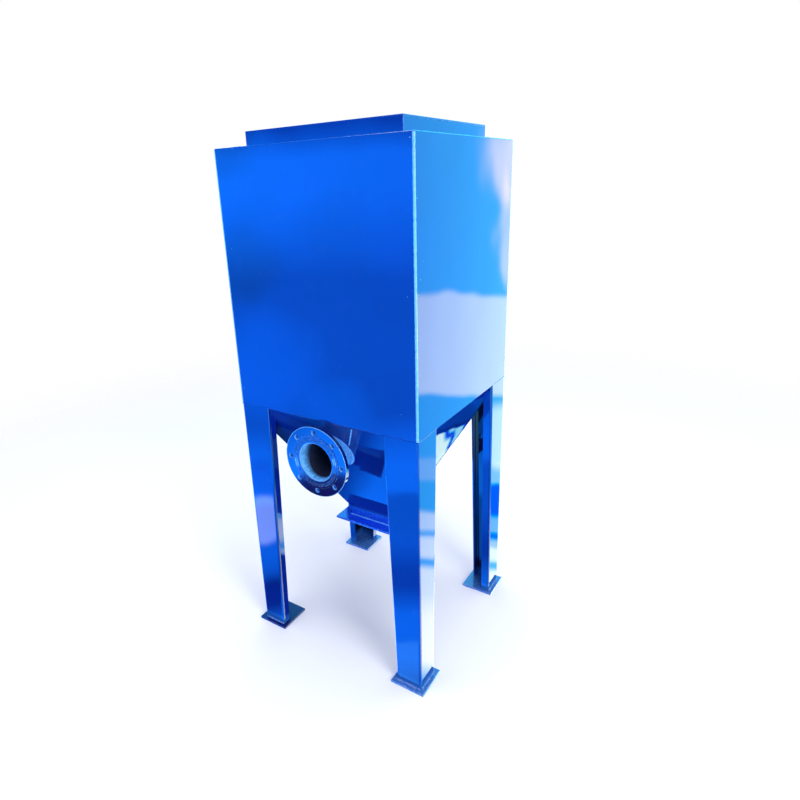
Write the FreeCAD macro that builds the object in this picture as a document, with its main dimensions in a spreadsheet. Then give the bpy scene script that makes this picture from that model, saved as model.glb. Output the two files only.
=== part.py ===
"""Box-bodied cyclone separator on four legs.

A square welded chamber with a shallow raised lid stands over an inverted-pyramid
hopper. A round flanged duct lets the dusty gas into the front of the hopper, and a
square flange under the hopper lets the dust out. Four tapered, lipped angle legs with
foot plates carry it.

Frame: millimetres, +Z up, the origin on the ground under the middle of the chamber,
the inlet facing -Y.
"""
import FreeCAD
import Part
import Sketcher
import os

# Driving dimensions: alias, value, meaning.
DIMENSIONS = (
    ("width", 720, "chamber outside, left to right"),
    ("depth", 700, "chamber outside, front to back"),
    ("chamber_floor", 945, "height of the chamber's lower edge and of the legs' tops"),
    ("chamber_roof", 1800, "height of the chamber's upper edge"),
    ("wall", 5, "sheet thickness of the chamber, hopper and legs"),
    ("corner_round", 4, "rounding of the chamber's upright corners"),
    ("edge_round", 1.5, "rounding of the chamber's and lid's upper edges"),
    ("bend_outside", 8, "outside radius of the bends in a leg"),
    ("bend_inside", 3, "inside radius of the bends in a leg"),
    ("lid_inset", 73, "from the chamber's outside to the lid's outside"),
    ("lid_height", 50, "how far the lid stands above the chamber"),
    ("lid_wall", 4, "sheet thickness of the lid"),
    ("neck_side", 181, "outside of the square neck under the hopper"),
    ("neck_top", 468, "height where the hopper meets the neck"),
    ("outlet_face", 423, "height of the outlet flange's lower face"),
    ("outlet_side", 265, "side of the square outlet flange"),
    ("outlet_plate", 8, "thickness of the outlet flange"),
    ("leg_top_width", 125, "leg flange width at the chamber"),
    ("leg_foot_width", 96, "leg flange width at the foot plate"),
    ("leg_lip", 33, "depth of the lip on each free edge of a leg, over the sheet"),
    ("foot_side", 128, "side of the square foot plate"),
    ("foot_margin", 16, "how far a foot plate stands out past the leg's outer faces"),
    ("foot_plate", 8, "thickness of a foot plate"),
    ("inlet_side", -9, "X of the inlet's axis, a little left of the middle"),
    ("inlet_face", -387, "Y of the inlet's gasket face"),
    ("inlet_height", 808, "height of the inlet's axis"),
    ("pipe_outside", 139.7, "outside diameter of the inlet duct"),
    ("pipe_wall", 4, "wall of the inlet duct"),
    ("pipe_setback", 5, "from the gasket face to the end of the duct inside the flange"),
    ("flange_outside", 250, "outside diameter of the inlet flange"),
    ("flange_plate", 16, "thickness of the inlet flange behind its raised face"),
    ("raised_outside", 188, "diameter of the raised gasket face"),
    ("raised_height", 2, "height of the raised gasket face"),
    ("inner_groove", 158, "diameter of the inner gasket groove"),
    ("outer_groove", 172, "diameter of the outer gasket groove"),
    ("groove_width", 3, "width of a gasket groove at the face"),
    ("groove_depth", 1.2, "depth of a gasket groove"),
    ("rim_chamfer", 1.5, "chamfer on both edges of the flange's rim"),
    ("bolt_circle", 210, "diameter of the bolt hole circle"),
    ("bolt_hole", 18, "diameter of a bolt hole"),
)
BOLT_COUNT = 8
NEAR = 0.1  # how close, in mm, an edge's middle lies to the point that names it

# Shared sheet expressions.
HALF_WIDTH = "Dims.width / 2"
HALF_DEPTH = "Dims.depth / 2"
INNER_HALF_WIDTH = "Dims.width / 2 - Dims.wall"
INNER_HALF_DEPTH = "Dims.depth / 2 - Dims.wall"
HALF_NECK = "Dims.neck_side / 2"
RISE = "(Dims.chamber_floor - Dims.neck_top)"
SLOPE_X = f"(({INNER_HALF_WIDTH} - {HALF_NECK}) / {RISE})"
SLOPE_Y = f"(({INNER_HALF_DEPTH} - {HALF_NECK}) / {RISE})"

# Normals of the two mirror planes.
LEFT_RIGHT = FreeCAD.Vector(1, 0, 0)
FRONT_BACK = FreeCAD.Vector(0, 1, 0)

doc = FreeCAD.newDocument("cyclone_separator")
sheet = doc.addObject("Spreadsheet::Sheet", "Dims")
for row, (alias, value, meaning) in enumerate(DIMENSIONS, start=1):
    sheet.set(f"A{row}", alias)
    sheet.set(f"B{row}", str(value))
    sheet.setAlias(f"B{row}", alias)
    sheet.set(f"C{row}", meaning)
doc.recompute()

pieces = []


def new_part(kind, name, **expressions):
    """Add an object of the document and tie its properties to sheet expressions."""
    part = doc.addObject(kind, name)
    part.Label = name
    for prop, expression in expressions.items():
        part.setExpression(prop, expression)
    return part


def place(part, x="0", y="0", z="0"):
    """Tie a part's position to sheet expressions."""
    for axis, expression in zip("xyz", (x, y, z)):
        part.setExpression(f"Placement.Base.{axis}", expression)
    return part


def keep(part):
    """Mark a part as one of the pieces that are written out."""
    pieces.append(part)
    return part


def plate(name, x_span, y_span, z_span):
    """A rectangular plate; each span is a pair of sheet expressions, low and high."""
    spans = (x_span, y_span, z_span)
    length, width, height = (f"({high}) - ({low})" for low, high in spans)
    box = new_part("Part::Box", name, Length=length, Width=width, Height=height)
    return place(box, *(low for low, high in spans))


def frustum(name, low_x, low_y, low_z, high_x, high_y, high_z):
    """A four-sided taper between two level rectangles, given as spans of x and y."""
    taper = new_part(
        "Part::Wedge", name,
        Ymin=low_z, Ymax=high_z,
        Xmin=low_x[0], Xmax=low_x[1], X2min=high_x[0], X2max=high_x[1],
        Zmin=f"-({low_y[1]})", Zmax=f"-({low_y[0]})",
        Z2min=f"-({high_y[1]})", Z2max=f"-({high_y[0]})",
    )
    # A wedge tapers along its own Y, so it is turned to stand along Z.
    taper.Placement.Rotation = FreeCAD.Rotation(FreeCAD.Vector(1, 0, 0), 90)
    return taper


def boolean(kind, name, base, tool):
    """A Part::Cut or Part::Common of two parts."""
    result = new_part(kind, name)
    result.Base = base
    result.Tool = tool
    return result


def size(expression):
    """The value of a sheet expression."""
    return float(sheet.evalExpression(expression))


def rounded(name, base, edges):
    """Round edges of a part.

    Each edge is a pair: the point halfway along it, and the radius, in sheet expressions.
    """
    doc.recompute()
    targets = [(FreeCAD.Vector(*map(size, middle)), size(radius)) for middle, radius in edges]
    numbered = []
    for number, edge in enumerate(base.Shape.Edges, start=1):
        halfway = edge.valueAt((edge.FirstParameter + edge.LastParameter) / 2)
        numbered += [(number, radius, radius) for middle, radius in targets
                     if halfway.distanceToPoint(middle) < NEAR]
    if len(numbered) != len(edges):
        raise RuntimeError(f"{name}: {len(numbered)} of {len(edges)} edges found")
    result = new_part("Part::Fillet", name)
    result.Base = base
    result.Edges = numbered
    return result


def mirrored(name, source, normal):
    """The mirror image of a part in an upright plane through the axis of the chamber."""
    image = new_part("Part::Mirroring", name)
    image.Source = source
    image.Normal = normal
    return image


def both(expression):
    """The span from minus to plus an expression."""
    return (f"-({expression})", expression)


def chamber():
    """Four wall panels with a roof plate let in between them."""
    height = ("Dims.chamber_floor", "Dims.chamber_roof")
    middle_z = "(Dims.chamber_floor + Dims.chamber_roof) / 2"
    front = plate("front_panel_blank", both(HALF_WIDTH),
                  (f"-{HALF_DEPTH}", f"-({INNER_HALF_DEPTH})"), height)
    right = plate("right_panel_blank", (INNER_HALF_WIDTH, HALF_WIDTH), both(INNER_HALF_DEPTH), height)
    front_panel = rounded("front_panel", front, [
        ((HALF_WIDTH, f"-{HALF_DEPTH}", middle_z), "Dims.corner_round"),
        ((f"-{HALF_WIDTH}", f"-{HALF_DEPTH}", middle_z), "Dims.corner_round"),
        (("0", f"-{HALF_DEPTH}", "Dims.chamber_roof"), "Dims.edge_round"),
    ])
    right_panel = rounded("right_panel", right, [
        ((HALF_WIDTH, "0", "Dims.chamber_roof"), "Dims.edge_round"),
    ])
    keep(front_panel)
    keep(mirrored("back_panel", front_panel, FRONT_BACK))
    keep(mirrored("left_panel", right_panel, LEFT_RIGHT))
    keep(right_panel)
    keep(plate("roof_plate", both(INNER_HALF_WIDTH), both(INNER_HALF_DEPTH),
               ("Dims.chamber_roof - Dims.wall", "Dims.chamber_roof")))


def lid():
    """A shallow closed box of sheet on the roof plate."""
    out_x = "(Dims.width / 2 - Dims.lid_inset)"
    out_y = "(Dims.depth / 2 - Dims.lid_inset)"
    in_x = f"({out_x} - Dims.lid_wall)"
    in_y = f"({out_y} - Dims.lid_wall)"
    lid_top = "Dims.chamber_roof + Dims.lid_height"
    rim = ("Dims.chamber_roof", f"{lid_top} - Dims.lid_wall")
    front_wall = keep(plate("lid_front_wall", both(out_x), (f"-{out_y}", f"-{in_y}"), rim))
    right_wall = keep(plate("lid_right_wall", (in_x, out_x), both(in_y), rim))
    keep(mirrored("lid_back_wall", front_wall, FRONT_BACK))
    keep(mirrored("lid_left_wall", right_wall, LEFT_RIGHT))
    blank = plate("lid_top_blank", both(out_x), both(out_y), (rim[1], lid_top))
    keep(rounded("lid_top", blank, [
        ((x, y, lid_top), "Dims.edge_round")
        for x, y in (("0", out_y), ("0", f"-{out_y}"), (out_x, "0"), (f"-{out_x}", "0"))
    ]))


def hopper_taper(name, inset_x, inset_y):
    """The hopper's taper, moved in by an inset and run on up past the chamber's lower edge."""
    run_on = "4 * Dims.wall"
    low_x = both(f"({HALF_NECK} - {inset_x})")
    low_y = both(f"({HALF_NECK} - {inset_y})")
    high_x = both(f"({INNER_HALF_WIDTH} + {SLOPE_X} * {run_on} - {inset_x})")
    high_y = both(f"({INNER_HALF_DEPTH} + {SLOPE_Y} * {run_on} - {inset_y})")
    return frustum(name, low_x, low_y, "Dims.neck_top",
                   high_x, high_y, f"Dims.chamber_floor + {run_on}")


def hopper():
    """Four sloping plates, mitred at the hips and trimmed to the inside of the chamber."""
    outer = hopper_taper("hopper_outside", "0", "0")
    inner = hopper_taper("hopper_inside",
                         f"Dims.wall * sqrt(1 + {SLOPE_X}^2)",
                         f"Dims.wall * sqrt(1 + {SLOPE_Y}^2)")
    shell = boolean("Part::Cut", "hopper_shell", outer, inner)
    # In plan the hips run from the neck's corners to the chamber's inner corners, and
    # meet a little off the axis, because the chamber is not quite square.
    hip_cross = f"({HALF_NECK} - {HALF_NECK} * {SLOPE_Y} / {SLOPE_X})"
    left, right = both(INNER_HALF_WIDTH)
    front, back = both(INNER_HALF_DEPTH)
    front_plan = ((left, front), (right, front), ("0", f"-{hip_cross}"))
    right_plan = ((right, front), (right, back), ("0", hip_cross), ("0", f"-{hip_cross}"))
    front_plate = boolean("Part::Common", "hopper_front_blank", shell,
                          sector("front_sector", front_plan))
    right_plate = boolean("Part::Common", "hopper_right_plate", shell,
                          sector("right_sector", right_plan))
    bore = cylinder_y("hopper_inlet_hole", "Dims.pipe_outside / 2 - Dims.pipe_wall",
                      "Dims.inlet_face", "0")
    keep(boolean("Part::Cut", "hopper_front_plate", front_plate, bore))
    keep(mirrored("hopper_back_plate", front_plate, FRONT_BACK))
    keep(right_plate)
    keep(mirrored("hopper_left_plate", right_plate, LEFT_RIGHT))
    return outer


def tie(sketch, name, kind, expression, *elements):
    """Add a named dimension to a sketch and bind it to a sheet expression."""
    number = sketch.addConstraint(Sketcher.Constraint(kind, *elements, size(expression)))
    sketch.renameConstraint(number, name)
    sketch.setExpression(f"Constraints.{name}", expression)


def outline(sketch, corners):
    """Draw a closed outline through corners, pairs of sheet expressions, and tie it to them."""
    points = [FreeCAD.Vector(size(x), size(y), 0) for x, y in corners]
    count = len(points)
    for index in range(count):
        sketch.addGeometry(Part.LineSegment(points[index], points[(index + 1) % count]), False)
    for index in range(count):
        sketch.addConstraint(Sketcher.Constraint("Coincident", index, 2, (index + 1) % count, 1))
    for index, corner in enumerate(corners):
        for kind, expression in zip(("DistanceX", "DistanceY"), corner):
            tie(sketch, f"{kind}_{index + 1}", kind, expression, -1, 1, index, 1)


def body_plane(body, role):
    """One of a body's own origin planes."""
    return next(plane for plane in body.Origin.OriginFeatures if plane.Role == role)


def new_sketch(body, name, role):
    """A sketch on one of the body's origin planes."""
    sketch = body.newObject("Sketcher::SketchObject", name)
    sketch.AttachmentSupport = [(body_plane(body, role), "")]
    sketch.MapMode = "FlatFace"
    return sketch


def sector(name, corners):
    """An upright prism over a plan outline, tall enough to take in the hopper."""
    body = doc.addObject("PartDesign::Body", name)
    plan = new_sketch(body, f"{name}_plan", "XY_Plane")
    outline(plan, corners)
    prism = body.newObject("PartDesign::Pad", f"{name}_prism")
    prism.Profile = plan
    prism.setExpression("Length", "Dims.chamber_roof")
    return body


def cylinder_y(name, radius, start, end):
    """A level cylinder on the inlet's axis, between two values of Y."""
    rod = new_part("Part::Cylinder", name, Radius=radius, Height=f"({end}) - ({start})")
    rod.Placement.Rotation = FreeCAD.Rotation(FreeCAD.Vector(1, 0, 0), -90)
    return place(rod, "Dims.inlet_side", start, "Dims.inlet_height")


def outlet():
    """A square neck under the hopper, with a square flange round its lower end."""
    flange_top = "Dims.outlet_face + Dims.outlet_plate"
    neck_height = (flange_top, "Dims.neck_top")
    flange_height = ("Dims.outlet_face", flange_top)
    neck_side = both(HALF_NECK)
    flange_side = both("Dims.outlet_side / 2")
    bore = both(f"({HALF_NECK} - Dims.wall)")
    outside = plate("neck_outside", neck_side, neck_side, neck_height)
    neck_hole = plate("neck_hole", bore, bore, neck_height)
    keep(boolean("Part::Cut", "outlet_neck", outside, neck_hole))
    blank = plate("outlet_flange_blank", flange_side, flange_side, flange_height)
    flange_hole = plate("outlet_flange_hole", bore, bore, flange_height)
    keep(boolean("Part::Cut", "outlet_flange", blank, flange_hole))


def inlet(hopper_outside):
    """A duct trimmed to the sloping hopper plate, with a drilled flange on its front end."""
    start = "Dims.inlet_face + Dims.pipe_setback"
    outside = cylinder_y("inlet_pipe_outside", "Dims.pipe_outside / 2", start, "0")
    bore = cylinder_y("inlet_pipe_bore", "Dims.pipe_outside / 2 - Dims.pipe_wall", start, "0")
    tube = boolean("Part::Cut", "inlet_pipe_blank", outside, bore)
    keep(boolean("Part::Cut", "inlet_pipe", tube, hopper_outside))
    keep(inlet_flange())


def inlet_flange():
    """The turned flange: a raised gasket face with two grooves, and a ring of bolt holes."""
    body = doc.addObject("PartDesign::Body", "inlet_flange")
    body.Label = "inlet_flange"
    section = new_sketch(body, "flange_section", "XY_Plane")
    bore = "Dims.pipe_outside / 2"
    raised = "Dims.raised_outside / 2"
    rim = "Dims.flange_outside / 2"
    step = "Dims.raised_height"
    back = "Dims.raised_height + Dims.flange_plate"
    grooves = []
    for circle in ("Dims.inner_groove / 2", "Dims.outer_groove / 2"):
        grooves += [(f"{circle} - Dims.groove_width / 2", "0"),
                    (circle, "Dims.groove_depth"),
                    (f"{circle} + Dims.groove_width / 2", "0")]
    outline(section, [
        (bore, "0"), *grooves, (raised, "0"), (raised, step),
        (f"{rim} - Dims.rim_chamfer", step), (rim, f"{step} + Dims.rim_chamfer"),
        (rim, f"{back} - Dims.rim_chamfer"), (f"{rim} - Dims.rim_chamfer", back),
        (bore, back),
    ])
    turned = body.newObject("PartDesign::Revolution", "flange_turned")
    turned.Profile = section
    turned.ReferenceAxis = (section, ["V_Axis"])
    turned.Angle = 360
    hole_plan = new_sketch(body, "bolt_hole_plan", "XZ_Plane")
    centre = FreeCAD.Vector(size("Dims.bolt_circle / 2"), 0, 0)
    circle = Part.Circle(centre, FreeCAD.Vector(0, 0, 1), size("Dims.bolt_hole / 2"))
    hole_plan.addGeometry(circle, False)
    hole_plan.addConstraint(Sketcher.Constraint("PointOnObject", 0, 3, -1))
    tie(hole_plan, "from_axis", "DistanceX", "Dims.bolt_circle / 2", -1, 1, 0, 3)
    tie(hole_plan, "hole_radius", "Radius", "Dims.bolt_hole / 2", 0)
    hole = body.newObject("PartDesign::Pocket", "bolt_hole")
    hole.Profile = hole_plan
    hole.Type = "ThroughAll"
    hole.Midplane = True
    ring = body.newObject("PartDesign::PolarPattern", "bolt_holes")
    ring.Originals = [hole]
    ring.Axis = (hole_plan, ["N_Axis"])
    ring.Angle = 360
    ring.Occurrences = BOLT_COUNT
    body.Tip = ring
    return place(body, "Dims.inlet_side", "Dims.inlet_face", "Dims.inlet_height")


def leg_square(width, inset):
    """The plan of a square at the front right corner, as spans of x and y."""
    x_span = (f"{HALF_WIDTH} - {width} + {inset}", f"{HALF_WIDTH} - {inset}")
    y_span = (f"-{HALF_DEPTH} + {inset}", f"-{HALF_DEPTH} + {width} - {inset}")
    return x_span, y_span


def leg_taper(name, inset):
    """A square taper at the front right corner, its outer corner upright."""
    return frustum(name, *leg_square("Dims.leg_foot_width", inset), "Dims.foot_plate",
                   *leg_square("Dims.leg_top_width", inset), "Dims.chamber_floor")


def legs(hopper_outside):
    """Four lipped angles that narrow to the foot, each on a square foot plate."""
    tube = boolean("Part::Cut", "leg_tube", leg_taper("leg_outside", "0"),
                   leg_taper("leg_inside", "Dims.wall"))
    gap = plate("leg_gap", (f"{HALF_WIDTH} - Dims.width / 4", f"{HALF_WIDTH} - Dims.leg_lip"),
                (f"-{HALF_DEPTH} + Dims.leg_lip", f"-{HALF_DEPTH} + Dims.width / 4"),
                ("Dims.foot_plate", "Dims.chamber_floor"))
    lipped = boolean("Part::Cut", "leg_lipped", tube, gap)
    middle_width = "(Dims.leg_foot_width + Dims.leg_top_width) / 2"
    middle_z = "(Dims.foot_plate + Dims.chamber_floor) / 2"
    bends = []
    for inset, radius in (("0", "Dims.bend_outside"), ("Dims.wall", "Dims.bend_inside")):
        (far_x, near_x), (near_y, far_y) = leg_square(middle_width, inset)
        bends += [((x, y, middle_z), radius)
                  for x, y in ((near_x, near_y), (far_x, near_y), (near_x, far_y))]
    folded = rounded("leg_folded", lipped, bends)
    front_right = boolean("Part::Cut", "leg_front_right", folded, hopper_outside)
    foot_x = f"{HALF_WIDTH} + Dims.foot_margin"
    foot_y = f"-{HALF_DEPTH} - Dims.foot_margin"
    foot = plate("foot_plate_front_right",
                 (f"{foot_x} - Dims.foot_side", foot_x),
                 (foot_y, f"{foot_y} + Dims.foot_side"),
                 ("0", "Dims.foot_plate"))
    for stem, first in (("leg", front_right), ("foot_plate", foot)):
        keep(first)
        front_left = keep(mirrored(f"{stem}_front_left", first, LEFT_RIGHT))
        keep(mirrored(f"{stem}_back_right", first, FRONT_BACK))
        keep(mirrored(f"{stem}_back_left", front_left, FRONT_BACK))


chamber()
lid()
hopper_outside = hopper()
outlet()
inlet(hopper_outside)
legs(hopper_outside)
doc.recompute()

for part in doc.Objects:
    if "Invalid" in part.State or "Error" in part.State:
        raise RuntimeError(f"{part.Label} failed: {part.State}")
os.makedirs("parts", exist_ok=True)
for piece in pieces:
    shape = piece.Shape
    if shape.isNull() or not shape.isValid() or len(shape.Solids) != 1:
        raise RuntimeError(f"{piece.Label} is not one valid solid")
    shape.exportStep(f"parts/{piece.Label}.step")
    box = shape.BoundBox
    print(f"{piece.Label:24s} {shape.Volume / 1000:9.1f} cm3  "
          f"x {box.XMin:7.1f} {box.XMax:7.1f}  y {box.YMin:7.1f} {box.YMax:7.1f}  "
          f"z {box.ZMin:7.1f} {box.ZMax:7.1f}")
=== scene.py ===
"""A box-bodied cyclone separator in blue enamel: paint, weld beads and marks around its frame."""
import math
import random

import bmesh
import bpy
from mathutils import Matrix, Vector, noise


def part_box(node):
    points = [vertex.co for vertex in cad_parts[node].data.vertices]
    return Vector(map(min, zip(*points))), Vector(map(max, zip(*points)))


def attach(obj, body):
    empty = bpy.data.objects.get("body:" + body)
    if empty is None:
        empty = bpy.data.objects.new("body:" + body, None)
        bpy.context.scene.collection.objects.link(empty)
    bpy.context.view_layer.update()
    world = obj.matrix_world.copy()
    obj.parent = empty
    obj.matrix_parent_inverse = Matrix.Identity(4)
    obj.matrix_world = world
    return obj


bl_info = {
    "name": "Cyclone separator",
    "version": (1, 0, 0),
    "blender": (4, 5, 0),
    "location": "View3D > Sidebar > Separator",
    "description": "Paints a welded cyclone separator and adds its weld beads, marks and studio",
    "category": "Add Mesh",
}

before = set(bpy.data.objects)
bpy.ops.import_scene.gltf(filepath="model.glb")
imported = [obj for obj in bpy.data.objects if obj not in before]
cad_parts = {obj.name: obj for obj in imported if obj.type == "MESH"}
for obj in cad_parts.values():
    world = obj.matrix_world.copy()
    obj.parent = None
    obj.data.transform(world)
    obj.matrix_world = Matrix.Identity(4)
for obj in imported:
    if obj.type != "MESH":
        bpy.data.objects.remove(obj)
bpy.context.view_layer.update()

MM = 0.001
BODY = "root"
Y_AXIS = Vector((0, 1, 0))
SIGNS = ((1, -1), (-1, -1), (1, 1), (-1, 1))
CORNERS = ("front_right", "front_left", "back_right", "back_left")

# Sizes of the frame's pieces that their boxes don't give.
DUCT_WALL = 4 * MM
LEG_WALL = 5 * MM
LEG_TAPER = 29 * MM  # how much narrower a leg is at its foot than at its top
RAISED_FACE = 2 * MM  # how far the middle of the inlet flange stands out
BOLT_COUNT = 8
BOLT_RING = 105 * MM  # radius
BOLT_HOLE = 9 * MM  # radius

# Corners that several pieces share.
LOW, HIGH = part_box("front_panel")[0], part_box("back_panel")[1]  # the chamber's outside
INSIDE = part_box("roof_plate")[1]  # the chamber's inner corner, at the roof's top
NECK_LOW, NECK_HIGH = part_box("outlet_neck")
SLOPE = (INSIDE.y - NECK_HIGH.y) / (LOW.z - NECK_HIGH.z)  # how far the hopper's front leans out

# Finishes, and what each gives the eye.
SHEET = "blue_alkyd_enamel_brushed_on_sheet"  # deep and wet, its reflections wavy
FOLDED = "blue_alkyd_enamel_on_folded_steel"  # the sharpest reflections, almost straight
TURNED = "blue_alkyd_enamel_on_turned_steel"  # dark and bright-surfaced, its pale edges partly wear and partly painted highlight
CUT = "scuffed_blue_enamel_on_cut_plate"  # flecked, with broad scuffs back to dull steel
BEAD_AND_HIGHLIGHT = "blue_enamel_rubbed_on_dressed_welds"  # a pale line along each edge, partly painted highlight
TUBE = "thin_blue_enamel_on_drawn_tube"  # pale, and flecked where the coat is thin
LIT_OUTLET = "bright_blue_enamel_sprayed_on_plate"  # painted light: brighter and plainer than the brushed coat, for the neck and outlet flange, which sit in shade under the hopper
SHADED_FOOT_NAVY = "dull_navy_enamel_on_cut_plate"  # painted shade: nearly black, with blurred, weak reflections, for the front left foot plate
BORE_LIGHT = "blue_overspray_on_bare_steel"  # painted light: pale and dull, with streaks, on the duct's bore and in the bolt holes
DUST_AND_SHADE = "caked_fly_dust"  # soot-dark and lumpy, its darkness partly painted shade
FLOOR_PAINT = "matt_pale_floor_paint"  # even and almost white

# The made surroundings that the enamel reflects, as bands of light one above the other. Each
# row holds the height where a band starts, as the rise of a ray one metre long, the band's
# share of light, and half the height over which it blends with the band below. To the right
# and behind it is white floor under open sky; at the front and left, blue haze over dark ground.
BEHIND = (
    (-0.900, 0.05, 0.000), (-0.710, 0.90, 0.010), (-0.640, 0.65, 0.015), (-0.595, 0.00, 0.004),
    (-0.585, 0.60, 0.003), (-0.555, 0.00, 0.003), (-0.548, 0.45, 0.002), (-0.523, 0.00, 0.003),
    (-0.477, 0.14, 0.003), (-0.445, 0.00, 0.003), (-0.345, 0.50, 0.004), (-0.185, 0.00, 0.005),
)
BEFORE = (
    (-0.900, 0.30, 0.000), (-0.860, 0.05, 0.010), (-0.720, 0.60, 0.020), (-0.635, 0.12, 0.015),
    (-0.585, 0.40, 0.020), (-0.500, 0.80, 0.004), (-0.420, 0.32, 0.040), (-0.080, 0.85, 0.070),
    (0.070, 0.15, 0.025),
)
RISE_LOW, RISE_HIGH = -0.9, 0.1  # the rays that the bands cover
# The light in the bands before and behind: unlit, at the lowest and highest rays, and lit.
DARK_GROUND = ((0.00, 0.01, 0.06), (0.00, 0.01, 0.06))
BLUE_HAZE = (0.01, 0.50, 2.75)
OPEN_SKY = ((0.01, 0.30, 0.65), (0.07, 0.50, 0.85))
WHITE_FLOOR = (1.00, 1.05, 0.85)
# Softer lights and shadows in those surroundings: degrees right of +Y, degrees up, reach in
# degrees, share of the reach that is full, and the light that each adds or takes away.
PATCHES = (
    (-8, -33, 5.5, 0.90, (-0.38, -0.46, -0.52)),
    (44, -41, 4.6, 0.90, (-1.00, -1.10, -0.80)),
    (20, -31.5, 3.3, 0.85, (-0.35, -0.30, -0.10)),
    (-132, 4.5, 5.0, 0.10, (0.00, -0.10, -0.90)),
    (-134.5, -7, 4.5, 0.10, (0.00, -0.04, -0.50)),
    (-139, -30, 2.6, 0.90, (0.00, -0.60, -3.00)),
    (-142, -30, 2.6, 0.90, (0.00, -0.60, -3.00)),
    (-134, -27.5, 2.5, 0.30, (0.00, -0.14, -0.60)),
    (-134, -38.5, 3.0, 0.30, (0.00, -0.10, -0.60)),
    (-136, -16.5, 6.5, 0.10, (0.00, 0.08, 0.60)),
    (-142, -22, 4.5, 0.10, (0.00, 0.08, 0.50)),
    (16.5, 2.5, 7.2, 0.60, (0.60, 0.28, 0.02)),
    (6.5, -4, 15.0, 0.93, (0.40, 0.20, 0.08)),
    (20, -24, 3.6, 0.60, (0.42, 0.35, 0.10)),
    (-134, -31.3, 2.4, 0.70, (0.40, 0.46, 0.60)),
    (-149.5, -48, 5.2, 0.97, (0.04, 0.16, 0.20)),
    (152, -12, 16.0, 0.60, (0.40, 1.30, 1.50)),
)


def linear(code):
    """An sRGB hex colour as linear red, green and blue."""
    shares = [int(code[i:i + 2], 16) / 255 for i in (1, 3, 5)]
    return tuple(c / 12.92 if c <= 0.04045 else ((c + 0.055) / 1.055) ** 2.4 for c in shares)


# ---------------------------------------------------------------- settings
# Each of these functions makes one kind of setting for the sidebar.


def colour(name, description, code):
    return bpy.props.FloatVectorProperty(
        name=name, description=description, size=3, subtype="COLOR", min=0, max=1,
        default=linear(code))


def length(name, description, millimetres):
    return bpy.props.FloatProperty(
        name=name, description=description, unit="LENGTH", subtype="DISTANCE",
        default=millimetres * MM)


def amount(name, description, default):
    return bpy.props.FloatProperty(
        name=name, description=description, subtype="FACTOR", min=0, max=1, default=default)


def power(name, description, default):
    return bpy.props.FloatProperty(
        name=name, description=description, subtype="POWER", unit="POWER", min=0, default=default)


def angle(name, description, degrees):
    return bpy.props.FloatProperty(
        name=name, description=description, subtype="ANGLE", unit="ROTATION",
        default=math.radians(degrees))


class FinishSettings(bpy.types.PropertyGroup):
    """Colours and gloss of the enamel."""
    panel_blue: colour("Panel blue", "Enamel on the chamber, lid and hopper", "#062C98")
    leg_blue: colour("Leg blue", "Enamel on the folded legs", "#04268E")
    # The flange blue also makes the front left foot plate nearly black, as painted shade.
    flange_blue: colour("Flange blue", "Enamel on the inlet flange and the navy foot", "#05165A")
    # This colour also makes the legs' lowest 45 mm paler, as painted floor light.
    foot_blue_and_floor_light: colour("Foot blue", "Enamel on the foot plates and low on the legs", "#2A6CB8")
    # Partly painted highlight: pale enough to show the bright line up the chamber corners.
    bead_blue_and_highlight: colour("Bead blue", "Enamel rubbed thin on the weld beads", "#64B2F8")
    tube_blue: colour("Tube blue", "Thin enamel on the inlet duct", "#4AA2EE")
    # Painted light: a brighter blue for the neck and outlet flange, which sit in shade under the
    # hopper.
    outlet_lit_blue: colour("Outlet blue", "Enamel sprayed on the neck and outlet flange", "#0A54E6")
    steel: colour("Bare steel", "Steel where the enamel has worn off an edge", "#77727E")
    scuffed: colour("Scuffed plate", "Dull steel where a foot plate's edges are scuffed", "#9A90AC")
    # Partly painted highlight: the pale worn edges on the flange's rim and grooves and on the beads.
    pale_wear_and_light: colour("Rubbed enamel", "Pale enamel where an edge or a bead has been rubbed", "#A8D4F4")
    dust: colour("Dust", "Pale dust lying in the enamel's texture", "#9FB4D8")
    # Painted light: the pale colour of the lit inside of the duct and the bolt holes.
    bore_light_blue: colour("Overspray", "Blue overspray on the bare duct's inside", "#66B6FC")
    # Partly painted shade: near black for the shaded inside.
    dark_dust_and_shade: colour("Caked dust", "Soot-dark dust on the inside walls", "#141019")
    # Painted shade: the dark colour on the legs' inner faces.
    primer: colour("Primer", "Dark primer left showing inside the legs", "#050A24")
    roughness: amount("Roughness", "Roughness of the enamel's clear surface", 0.03)


class WeldSettings(bpy.types.PropertyGroup):
    """Sizes of the weld beads."""
    corner: length("Corner bead", "Radius of the dressed bead up each chamber corner", 4.4)
    seam: length("Seam bead", "Radius of the bead round the roof and the hopper", 3.0)
    butt: length("Butt bead", "Radius of the dressed bead where a leg meets the chamber", 2.0)
    lid: length("Lid bead", "Radius of the dressed bead along the lid's edges", 2.0)
    fillet: length("Fillet bead", "Radius of the fillet at the duct, neck and feet", 4.0)
    ripple: length("Ripple pitch", "Distance from one ripple of a bead to the next", 5.0)


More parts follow.
